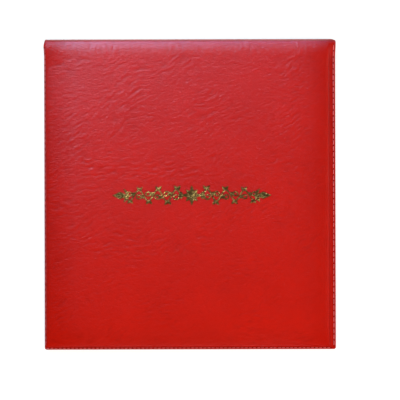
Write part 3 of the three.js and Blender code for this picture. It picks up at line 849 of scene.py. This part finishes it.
class CoverColours(bpy.types.PropertyGroup):
    """Colours of the cover's materials."""

    leatherette: colour_setting("Leatherette", "Red of the leatherette", (0.565, 0.008, 0.001))
    leatherette_glint: colour_setting(
        "Leatherette glint", "Tint of the leatherette's shine", (0.62, 0.6, 0.66))
    leatherette_shine: number_setting("Leatherette shine", "Strength of the leatherette's shine", 1.0, 1)
    thread: colour_setting("Thread", "Red of the sewing thread", (0.72, 0.15, 0.16))
    lining: colour_setting("Lining", "Ivory of the moire lining", (0.80, 0.74, 0.60))
    ribbon: colour_setting("Ribbon", "White of the satin corner ribbons", (0.85, 0.82, 0.74))
    foil: colour_setting("Gold foil", "Gold of the tooled ornament", (0.62, 0.33, 0.09))


class CoverStudio(bpy.types.PropertyGroup):
    """Light and camera of the studio."""

    frame_width: length_setting(
        "Picture width", "Width of the picture at the height of the rim", 0.2953, 0.1, 2.0)
    key_power: number_setting("Key lamp", "Power of the soft lamp beyond the fold", 5.0, 50)
    fill_power: number_setting("Fill lamps", "Power that each fill lamp has a share of", 5.3, 50)
    surround: number_setting("Surround", "Strength of the light from all round", 0.06, 2)


MATERIALS = {}


def finish_of(name, scene):
    """The named material, made once."""
    if name not in MATERIALS:
        colours = scene.diploma_cover_colours
        makers = {
            "leatherette": lambda: leatherette_finish(colours),
            "thread": lambda: thread_finish(colours),
            "lining": lambda: moire_finish(colours),
            "ribbon": lambda: satin_finish(colours),
            "gold_foil": lambda: foil_finish(colours),
            "clear_film": film_finish,
            "board": card_finish,
            "foam": foam_finish,
        }
        MATERIALS[name] = makers[name]()
    return MATERIALS[name]


def blend_at_hinge(piece, form):
    """Works out the two ends of a bend across the hinge line, which nothing uses, and bakes the piece's
    placing into its mesh.
    """
    reach = 1.1
    towards_cover = np.array([0.0, -0.667, 0.745])
    hinge = np.array([0.0, FOLD_LINE, form.hinge])
    start, end = form.place(hinge - reach * towards_cover), form.place(hinge + reach * towards_cover)
    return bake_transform(piece)


def dressed_cover(form, spacing, grain_depth, scene):
    """Leatherette of one cover and of its half of the spine. Measures are in metres."""
    material = finish_of("leatherette", scene)
    leather = cover_leather(f"{form.side}_leather", form, spacing / MM, grain_depth / MM, material)
    blend_at_hinge(leather, form)
    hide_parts(f"{form.side}_leatherette", "spine_leatherette")
    return leather


class DIPLOMACOVER_OT_front_leather(bpy.types.Operator):
    """Make the padded front's leatherette, with its crushed grain, sewn rim and turn-in"""

    bl_idname = "diploma_cover.front_leather"
    bl_label = "Front leatherette"

    def execute(self, context):
        sizes = context.scene.diploma_cover_sizes
        leather = dressed_cover(FRONT, sizes.front_spacing, sizes.grain_depth, context.scene)
        return {"FINISHED"}


class DIPLOMACOVER_OT_back_leather(bpy.types.Operator):
    """Make the flat back's leatherette, with its sewn rim and turn-in"""

    bl_idname = "diploma_cover.back_leather"
    bl_label = "Back leatherette"

    def execute(self, context):
        sizes = context.scene.diploma_cover_sizes
        dressed_cover(BACK, sizes.back_spacing, 0.5 * sizes.grain_depth, context.scene)
        return {"FINISHED"}


def soft_slab(name, low, high, material):
    """A closed panel of cloth between two corners in mm, with rounded edges and a slight relief."""
    rounding, spacing = 0.35, 4.0
    fine = np.array([0.0, 0.05, 0.15, 0.3]) * rounding / 0.3

    def lines(start, end):
        count = max(2, int(round((end - start) / spacing)))
        middle = np.linspace(start + fine[-1], end - fine[-1], count + 1)
        return np.concatenate([start + fine[:-1], middle, (end - fine[:-1])[::-1]])

    xs, ys = lines(low[0], high[0]), lines(low[1], high[1])
    x, y = np.meshgrid(xs, ys)
    from_edge = np.minimum(np.minimum(x - xs[0], xs[-1] - x), np.minimum(y - ys[0], ys[-1] - y))
    swell = roll(from_edge, rounding)
    half, middle = (high[2] - low[2]) / 2, (high[2] + low[2]) / 2
    wavy = 0.03 * drift(x, y, 30, 22, 12) * smooth(from_edge / 2)
    upper = np.stack([x, y, middle + half * swell + wavy], -1)
    lower = np.stack([x, y, middle - half * swell + wavy], -1)
    return closed_sheet(name, upper, lower, material)


class DIPLOMACOVER_OT_linings(bpy.types.Operator):
    """Make the moire lining panels of both covers"""

    bl_idname = "diploma_cover.linings"
    bl_label = "Lining panels"

    def execute(self, context):
        material = finish_of("lining", context.scene)
        for form in (FRONT, BACK):
            low, high = (np.array(corner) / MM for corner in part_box(f"{form.side}_lining"))
            panel = soft_slab(f"{form.side}_lining_moire", low, high, material)
            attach(panel, f"{form.side}_cover")
            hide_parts(f"{form.side}_lining")
        return {"FINISHED"}


class DIPLOMACOVER_OT_spine_lining(bpy.types.Operator):
    """Make the strip of moire that lines the spine, as two halves that meet in the middle of the spine"""

    bl_idname = "diploma_cover.spine_lining"
    bl_label = "Spine lining"

    def execute(self, context):
        material = finish_of("lining", context.scene)
        for form in (FRONT, BACK):
            strip, length = spine_lining_half(f"spine_lining_{form.side}", form, material)
            blend_at_hinge(strip, form)
            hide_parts("spine_lining")
        return {"FINISHED"}


def spine_lining_half(name, form, material):
    """Half of the spine's lining, from beside a panel to the middle of the spine, and its length."""
    start_height = -0.35 if form is FRONT else -0.7
    climb = form.hinge - 0.9 - start_height
    arc = spine_arc(form, SPINE_RADIUS - 1.15, math.radians(34), 9)
    gutter = np.array([
        [LINER_FOLD + 0.3, start_height],
        [LINER_FOLD + 1.6, start_height],
        [LINER_FOLD + 3.0, start_height + 0.25],
        [LINER_FOLD + 4.3, start_height + 0.3 * climb],
        [LINER_FOLD + 5.4, start_height + 0.75 * climb],
        [FOLD_LINE - 0.75, form.hinge - 1.0],
    ])
    line = smooth_line(np.concatenate([gutter, arc]), 34)
    inside_ends = np.linspace(-LINER_X + 0.4, LINER_X - 0.4, 60)
    xs = np.array([-LINER_X, -LINER_X + 0.1, *inside_ends, LINER_X - 0.1, LINER_X])
    swell = roll(np.minimum(xs + LINER_X, LINER_X - xs), 0.4)
    half = SPINE_LINING_HALF_THICKNESS * swell[None, :, None]
    x = np.broadcast_to(xs, (len(line), len(xs)))[..., None]
    middle = np.broadcast_to(line[:, None], (len(line), len(xs), 2))
    outward = np.broadcast_to(left_normals(line)[:, None], middle.shape)
    upper = np.concatenate([x, middle + half * outward], -1)
    lower = np.concatenate([x, middle - half * outward], -1)
    shell = Shell()
    top = shell.add(upper)
    under = shell.add(lower[:, 1:-1])
    under = np.concatenate([top[:, :1], under, top[:, -1:]], 1)
    shell.grid(top)
    shell.grid(under, flip=True)
    for end, flip in ((0, True), (-1, False)):
        for k in range(len(xs) - 1):
            face = [top[end, k], top[end, k + 1], under[end, k + 1], under[end, k]]
            face = list(dict.fromkeys(int(n) for n in face))
            shell.faces.append(face[::-1] if flip else face)
    length = np.linalg.norm(np.diff(line, axis=0), axis=1).sum()
    return shell.build(name, form, material), length


def smooth_line(points, count):
    """Even points along a smoothed line through the given ones."""
    dense = points
    for _ in range(3):
        cut = np.stack([0.75 * dense[:-1] + 0.25 * dense[1:], 0.25 * dense[:-1] + 0.75 * dense[1:]], 1)
        dense = np.concatenate([dense[:1], cut.reshape(-1, 2), dense[-1:]])
    along = lengths_along(dense)
    even = np.linspace(0, along[-1], count)
    return np.stack([np.interp(even, along, dense[:, axis]) for axis in (0, 1)], 1)


def stitch_run(curve, side, start, end, pitch, width, gap):
    """One straight run of stitches on both faces of the rim, each as rings of points round its thread."""
    share = np.linspace(0, 1, STITCH_RINGS)
    turn = np.linspace(0, 2 * np.pi, STITCH_SIDES, endpoint=False)
    lift = -STITCH_SINK + STITCH_ARCH * (1 - (2 * share - 1) ** 4)
    taper = 0.35 + 0.65 * np.sqrt(1 - (2 * share - 1) ** 6)
    across = width / 2 * taper[:, None] * np.cos(turn)
    rise = STITCH_FLATNESS * width * taper[:, None] * np.sin(turn)
    for k in range(int((end - start) / pitch)):
        along = start + pitch * k + gap / 2 + (pitch - gap) * share
        place = np.broadcast_to(along[:, None], across.shape)
        level = np.full_like(along, RIM_THICKNESS)
        if side != 1:
            level = np.interp(-along, curve[:, 0], curve[:, 1])
        for base, outside in ((level, 1), (level - RIM_THICKNESS, -1)):
            up = (base + outside * lift)[:, None] + rise
            if side == 0:
                yield np.stack([LEFT + SEAM_LEFT + across, -place, up], -1)
            elif side == 2:
                yield np.stack([RIGHT - SEAM_RIGHT + across, -place, up], -1)
            else:
                yield np.stack([place, BOTTOM + SEAM_BOTTOM + across, up], -1)


def seam_stitches(name, form, material, width, gap):
    """All the stitches of one cover's rim, on its outer and inner faces."""
    rows = edge_lines(FOOT_BOTTOM, form.fold_start, 1.0, True, False)
    curve, _ = rim_curve(form, fold_profile(form, rows)[0])
    curve = curve[: len(rows) + 2]
    first_hole = PITCH_BOTTOM * math.ceil((LEFT + 0.7) / PITCH_BOTTOM)
    runs = (
        (0, -SEAM_TOP_LEFT, -BOTTOM - SEAM_FROM_CORNER, PITCH_LEFT),
        (1, first_hole, RIGHT - 1.6, PITCH_BOTTOM),
        (2, -SEAM_TOP_RIGHT, -BOTTOM - SEAM_FROM_CORNER, PITCH_RIGHT),
    )
    shell = Shell()
    for run in runs:
        for ring in stitch_run(curve, *run, width, gap):
            steps, around = ring.shape[:2]
            along, turn = np.arange(steps)[:, None] * 0.4, np.arange(around) * 0.25
            place = np.stack(np.broadcast_arrays(along, turn, 0.0), -1)
            numbers = shell.add(ring, sheet=place)
            wrapped = np.concatenate([numbers, numbers[:, :1]], 1)
            outward = np.cross(ring[0, 1] - ring[0, 0], ring[1, 0] - ring[0, 0])
            inside_out = np.dot(outward, ring[0].mean(0) - ring[0, 0]) > 0
            shell.grid(wrapped, flip=inside_out)
            caps = (numbers[0][::-1], numbers[-1]) if inside_out else (numbers[0], numbers[-1][::-1])
            shell.faces.extend([int(n) for n in cap[::-1]] for cap in caps)
    return shell.build(name, form, material)


class DIPLOMACOVER_OT_stitching(bpy.types.Operator):
    """Make the rows of stitches round the three sewn rims of both covers"""

    bl_idname = "diploma_cover.stitching"
    bl_label = "Seam stitching"

    def execute(self, context):
        sizes = context.scene.diploma_cover_sizes
        material = finish_of("thread", context.scene)
        for form in (FRONT, BACK):
            width, gap = sizes.thread_width / MM, sizes.hole_gap / MM
            stitches = seam_stitches(f"{form.side}_stitches", form, material, width, gap)
            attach(stitches, f"{form.side}_cover")
            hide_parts(f"{form.side}_seam_thread")
        return {"FINISHED"}


class DIPLOMACOVER_OT_padding(bpy.types.Operator):
    """Make the foam pad under the front's leatherette"""

    bl_idname = "diploma_cover.padding"
    bl_label = "Foam pad"

    def execute(self, context):
        low, high = (np.array(corner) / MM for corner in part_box("foam_pad"))
        xs = edge_lines(low[0], high[0], 3.0, True, True)
        ys = edge_lines(low[1], high[1], 3.0, True, False)
        x, y = np.meshgrid(xs, ys)
        top = FRONT.height(x, y) - SKIN_OFFSET - 0.1 + 0.04 * drift(x, y, 5, 5, 91)
        shell = Shell()
        upper = shell.add(np.stack([x, y, np.maximum(top, PAD_INNER + 0.3)], -1))
        under = shell.add(np.stack([x, y, np.full_like(x, PAD_INNER)], -1))
        shell.grid(upper)
        shell.grid(under, flip=True)
        shell.quads(upper[0], under[0], flip=True)
        shell.quads(upper[-1], under[-1])
        shell.quads(upper[:, 0], under[:, 0])
        shell.quads(upper[:, -1], under[:, -1], flip=True)
        pad = shell.build("padding_foam", FRONT, finish_of("foam", context.scene))
        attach(pad, "front_cover")
        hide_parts("foam_pad")
        return {"FINISHED"}


class DIPLOMACOVER_OT_inside_fittings(bpy.types.Operator):
    """Finish the boards, the clear sheet and the gold tooling"""

    bl_idname = "diploma_cover.inside_fittings"
    bl_label = "Boards, film and tooling"

    def execute(self, context):
        finishes = {
            "front_board": "board",
            "back_board": "board",
            "clear_sheet": "clear_film",
            "gold_ornament": "gold_foil",
        }
        for node, finish in finishes.items():
            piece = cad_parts[node]
            piece.data.materials.clear()
            piece.data.materials.append(finish_of(finish, context.scene))
            softened = piece.modifiers.new("softened_edges", "BEVEL")
            softened.width = 0.00005
            softened.segments = 2
            softened.limit_method = "ANGLE"
        return {"FINISHED"}


def corner_ribbon(name, node, corner, towards, material):
    """A ribbon across one corner of the lining, wrapped round both edges and tucked under, in mm."""
    low, high = (np.array(corner_point) / MM for corner_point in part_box(node))
    top, under = high[2] - RIBBON_HALF_THICKNESS, low[2] + RIBBON_HALF_THICKNESS
    radius = (top - under) / 2
    along = np.linspace(-RIBBON_FLAT_LENGTH / 2, RIBBON_FLAT_LENGTH / 2, RIBBON_ROWS)
    edge = np.array([0.0, 0.03, 0.1, 0.25])
    half_width = RIBBON_HALF_WIDTH
    across = np.concatenate([edge - half_width, np.linspace(-half_width + 1, half_width - 1, 9),
                             half_width - edge[::-1]])
    a, w = np.meshgrid(along, across, indexing="ij")
    plan = [(RIBBON_MIDDLE + math.sqrt(2) * (w + turn * a)) / 2 for turn in (1, -1)]
    wrapped = []
    height = np.full_like(a, top) + 0.03 * drift(a, w, 9, 5, 61) * smooth((27 - np.abs(a)) / 9)
    for distance in plan:
        beyond = np.maximum(-distance, 0)
        turn = np.minimum(beyond / radius, math.pi)
        tucked = np.maximum(beyond - math.pi * radius, 0)
        wrapped.append(np.where(distance > 0, distance, tucked - RIBBON_BULGE * np.sin(turn)))
        height = height - radius * (1 - np.cos(turn))
    middle = np.stack(
        [corner[0] + towards[0] * wrapped[0], corner[1] + towards[1] * wrapped[1], height], -1
    )
    end_distance = RIBBON_FLAT_LENGTH / 2 - np.abs(a)
    half = RIBBON_HALF_THICKNESS * roll(np.minimum(half_width - np.abs(w), end_distance), 0.1)[..., None]
    offset = half * face_normals(middle)
    return closed_sheet(name, middle + offset, middle - offset, material)


def closed_sheet(name, upper, lower, material):
    """A closed mesh from two grids of points in mm that meet along their borders."""
    rows, columns = upper.shape[:2]
    numbers = np.arange(rows * columns).reshape(rows, columns)
    inside = np.zeros((rows, columns), bool)
    inside[1:-1, 1:-1] = True
    under = numbers.copy()
    under[inside] = rows * columns + np.arange(inside.sum())
    points = np.concatenate([upper.reshape(-1, 3), lower[inside]]) * MM
    faces = []
    for grid, turned_over in ((numbers, False), (under, True)):
        quad = np.stack([grid[:-1, :-1], grid[:-1, 1:], grid[1:, 1:], grid[1:, :-1]], -1).reshape(-1, 4)
        faces.extend((quad[:, ::-1] if turned_over else quad).tolist())
    return mesh_piece(name, points, faces, material)


class DIPLOMACOVER_OT_ribbons(bpy.types.Operator):
    """Make the four satin ribbons across the corners of the back lining"""

    bl_idname = "diploma_cover.ribbons"
    bl_label = "Corner ribbons"

    def execute(self, context):
        material = finish_of("ribbon", context.scene)
        low, high = (np.array(corner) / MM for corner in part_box("back_lining"))
        for end, y, towards_y in (("fold", high[1], -1), ("bottom", low[1], 1)):
            for side, x, towards_x in (("left", low[0], 1), ("right", high[0], -1)):
                node = f"ribbon_{end}_{side}"
                corner, towards = (x, y), (towards_x, towards_y)
                ribbon = corner_ribbon(f"satin_{end}_{side}", node, corner, towards, material)
                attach(ribbon, "back_cover")
                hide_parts(node)
        return {"FINISHED"}


def lathe_sweep(name, profile, material, sides=96):
    """A surface turned round the vertical axis from a profile of (radius, height), in metres."""
    turn = np.linspace(0, 2 * np.pi, sides, endpoint=False)
    rings = [np.stack([r * np.cos(turn), r * np.sin(turn), np.full(sides, z)], 1) for r, z in profile]
    points = np.concatenate([[[0, 0, profile[0][1]]], *rings])
    faces = [[0, 1 + k, 1 + (k + 1) % sides] for k in range(sides)]
    for low in range(1, len(points) - sides, sides):
        for k in range(sides):
            after = (k + 1) % sides
            faces.append([low + k, low + sides + k, low + sides + after, low + after])
    return mesh_piece(name, points, faces, material)


def backdrop_finish():
    """Pale paper that the camera, metal and film see as white, with the object's soft shadow kept."""
    finish = Finish("studio_paper", (0.35, 0.35, 0.35), 1.0)
    finish.use("Specular IOR Level", 0.0)
    path = finish.node("ShaderNodeLightPath")
    seen = finish.math("MAXIMUM", path.outputs["Is Camera Ray"], path.outputs["Is Glossy Ray"])
    seen = finish.math("MAXIMUM", seen, path.outputs["Is Transmission Ray"])
    finish.use("Emission Color", (1, 1, 1, 1))
    finish.use("Emission Strength", finish.math("MULTIPLY", seen, 0.8))
    return finish.material


class DIPLOMACOVER_OT_studio(bpy.types.Operator):
    """Set up the pale floor and backdrop, the soft lamps and the camera"""

    bl_idname = "diploma_cover.studio"
    bl_label = "Studio"

    def execute(self, context):
        scene = context.scene
        studio = scene.diploma_cover_studio
        cove = [(7.0 + math.sin(t), 1.0 - math.cos(t)) for t in np.linspace(0, math.pi / 2, 9)]
        profile = [(0.5, 0.0), (3.0, 0.0), *cove, (8.0, 5.0)]
        backdrop = lathe_sweep("studio_backdrop", profile, backdrop_finish())
        backdrop.location.z = -0.0001
        world = bpy.data.worlds.new("studio_surround")
        world.use_nodes = True
        background = next(n for n in world.node_tree.nodes if n.type == "BACKGROUND")
        background.inputs["Color"].default_value = (1, 1, 1, 1)
        background.inputs["Strength"].default_value = studio.surround
        scene.world = world

        # The first two lamps show in the leatherette's shine. The glow gives no other light, and the fills
        # are warm because the key lamp is cool, so that white surfaces stay white
        key, fill = studio.key_power, studio.fill_power
        cool, blue, warm = (0.62, 0.85, 1.0), (0.22, 0.42, 1.0), (1.0, 0.82, 0.68)
        lamps = (
            ("key_lamp", (-0.28, 0.50, 0.56), (0.6, 0.6), key, cool),
            ("fold_glow", (-0.16, 0.44, 0.30), (0.7, 0.25), 0.55 * key, blue),
            ("right_fill", (1.0, -0.3, 0.75), (0.7, 0.7), 1.8 * fill, warm),
            ("left_fill", (-0.9, -0.4, 0.9), (0.7, 0.7), 0.45 * fill, warm),
            ("near_fill", (0.1, -1.0, 0.75), (0.7, 0.7), 1.45 * fill, warm),
        )
        for name, place, size, power, colour in lamps:
            light = bpy.data.lights.new(name, "AREA")
            light.shape = "RECTANGLE"
            light.size, light.size_y = size
            light.energy = power
            light.color = colour
            lamp = linked(name, light)
            lamp.location = place
            lamp.rotation_mode = "QUATERNION"
            lamp.rotation_quaternion = (-Vector(place)).to_track_quat("-Z", "Y")
            lamp.visible_glossy = name in ("key_lamp", "fold_glow")
            lamp.visible_diffuse = name != "fold_glow"
        camera_data = bpy.data.cameras.new("camera_above")
        camera_data.lens = 135
        camera_data.sensor_width = 36
        distance = studio.frame_width / 2 / (camera_data.sensor_width / 2 / camera_data.lens)
        off_x, off_y, rim_height = 0.0074, -0.0042, 0.007
        camera = linked("camera_above", camera_data)
        camera.location = (off_x, off_y, rim_height + distance)
        camera.rotation_euler = (0, 0, math.radians(-0.15))
        camera_data.clip_start, camera_data.clip_end = 0.05, 30
        scene.camera = camera
        scene.view_settings.view_transform = "Standard"
        return {"FINISHED"}


OPERATORS = (
    DIPLOMACOVER_OT_studio,
    DIPLOMACOVER_OT_front_leather,
    DIPLOMACOVER_OT_back_leather,
    DIPLOMACOVER_OT_linings,
    DIPLOMACOVER_OT_spine_lining,
    DIPLOMACOVER_OT_stitching,
    DIPLOMACOVER_OT_padding,
    DIPLOMACOVER_OT_ribbons,
    DIPLOMACOVER_OT_inside_fittings,
)


class DIPLOMACOVER_PT_panel(bpy.types.Panel):
    """Sizes, colours and steps of the diploma cover"""

    bl_label = "Diploma cover"
    bl_idname = "DIPLOMACOVER_PT_panel"
    bl_space_type = "VIEW_3D"
    bl_region_type = "UI"
    bl_category = "Diploma cover"

    def draw(self, context):
        scene = context.scene
        groups = (scene.diploma_cover_sizes, scene.diploma_cover_colours, scene.diploma_cover_studio)
        for group in groups:
            box = self.layout.box()
            for name in group.bl_rna.properties.keys():
                if name not in ("rna_type", "name"):
                    box.prop(group, name)
        for operator in OPERATORS:
            self.layout.operator(operator.bl_idname)


CLASSES = (CoverSizes, CoverColours, CoverStudio, *OPERATORS, DIPLOMACOVER_PT_panel)


def register():
    for cls in CLASSES:
        bpy.utils.register_class(cls)
    bpy.types.Scene.diploma_cover_sizes = PointerProperty(type=CoverSizes)
    bpy.types.Scene.diploma_cover_colours = PointerProperty(type=CoverColours)
    bpy.types.Scene.diploma_cover_studio = PointerProperty(type=CoverStudio)


def unregister():
    del bpy.types.Scene.diploma_cover_studio
    del bpy.types.Scene.diploma_cover_colours
    del bpy.types.Scene.diploma_cover_sizes
    for cls in reversed(CLASSES):
        bpy.utils.unregister_class(cls)


def main():
    """Builds the whole scene."""
    register()
    bpy.ops.diploma_cover.studio()
    bpy.ops.diploma_cover.front_leather()
    bpy.ops.diploma_cover.back_leather()
    bpy.ops.diploma_cover.linings()
    bpy.ops.diploma_cover.spine_lining()
    bpy.ops.diploma_cover.stitching()
    bpy.ops.diploma_cover.padding()
    bpy.ops.diploma_cover.ribbons()
    bpy.ops.diploma_cover.inside_fittings()


if __name__ == "__main__":
    main()
